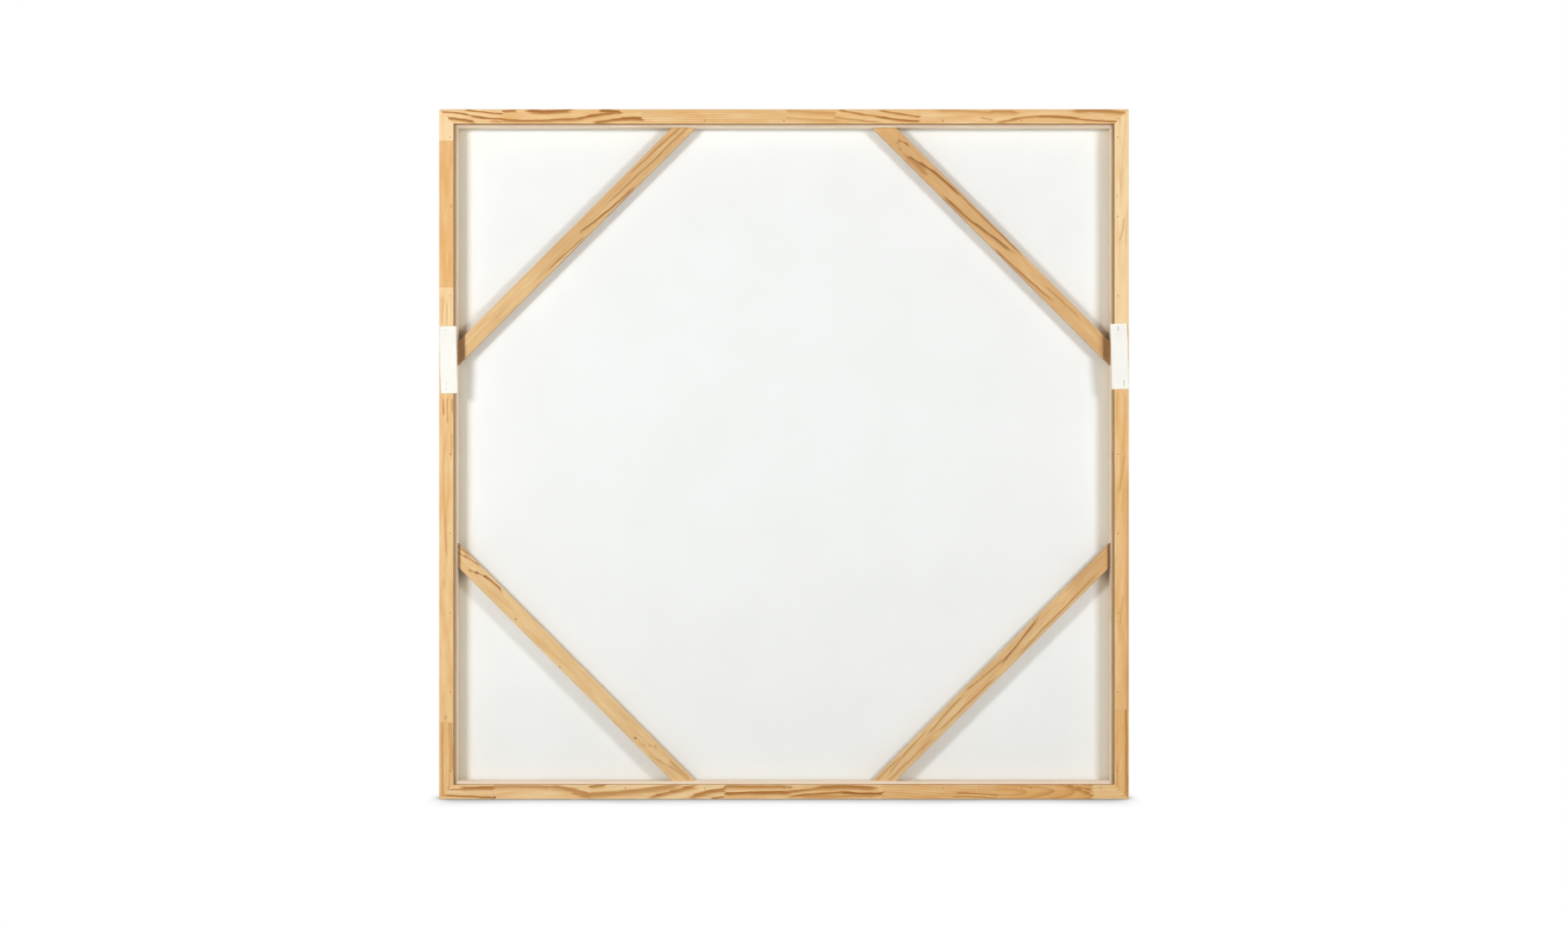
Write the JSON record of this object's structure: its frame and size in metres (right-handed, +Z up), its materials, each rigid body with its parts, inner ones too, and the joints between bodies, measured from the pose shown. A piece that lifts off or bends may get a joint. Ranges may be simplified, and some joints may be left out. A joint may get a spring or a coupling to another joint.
{
  "type": "stretched canvas",
  "caption": "Square blank canvas on a braced pine stretcher, set back in a natural pine floater frame with covered ring hangers.",
  "frame": {"origin": "the underside of the bottom rail, half way along it and half way through its depth", "axes": "+Z up the frame, +Y out of the painted front, -Y out of the back that goes against a wall, +X along the bottom rail"},
  "size_m": [1.245, 0.0627, 1.245],
  "materials": {
    "frame_pine": "bare planed pine, finger jointed",
    "stretcher_pine": "bare planed pine",
    "brace_pine": "bare planed pine",
    "primed_canvas": "primed cotton canvas, matt",
    "cover_felt": "soft white strip, matt",
    "steel_wire": "bright drawn wire",
    "zinc_plate": "zinc plated"
  },
  "bodies": {
    "framed_canvas": {"frame_rail_bottom": "frame_pine", "frame_rail_left": "frame_pine", "frame_rail_top": "frame_pine", "frame_rail_right": "frame_pine", "frame_pins": "steel_wire", "frame_v_nails": "steel_wire", "stretcher_bar_bottom": "stretcher_pine", "stretcher_bar_left": "stretcher_pine", "stretcher_bar_top": "stretcher_pine", "stretcher_bar_right": "stretcher_pine", "stretcher_corner_staples": "steel_wire", "corner_brace_lower_left": "brace_pine", "corner_brace_upper_left": "brace_pine", "corner_brace_upper_right": "brace_pine", "corner_brace_lower_right": "brace_pine", "brace_brads": "steel_wire", "canvas_cloth": "primed_canvas", "canvas_staples": "steel_wire", "hanger_strap_left": "zinc_plate", "hanger_strap_right": "zinc_plate", "hanger_screws": "zinc_plate", "cover_strip_left": "cover_felt", "cover_strip_right": "cover_felt", "cover_staples": "steel_wire"},
    "left_ring": {"hanger_ring_left": "zinc_plate"},
    "right_ring": {"hanger_ring_right": "zinc_plate"}
  },
  "joints": [
    {"name": "left_ring_swing", "type": "hinge", "parent": "framed_canvas", "child": "left_ring", "pos_m": [-0.6065, -0.0297, 0.7969], "axis": [1, 0, 0], "range_deg": [0, 5]},
    {"name": "right_ring_swing", "type": "hinge", "parent": "framed_canvas", "child": "right_ring", "pos_m": [0.6065, -0.0297, 0.8031], "axis": [1, 0, 0], "range_deg": [0, 5]}
  ]
}
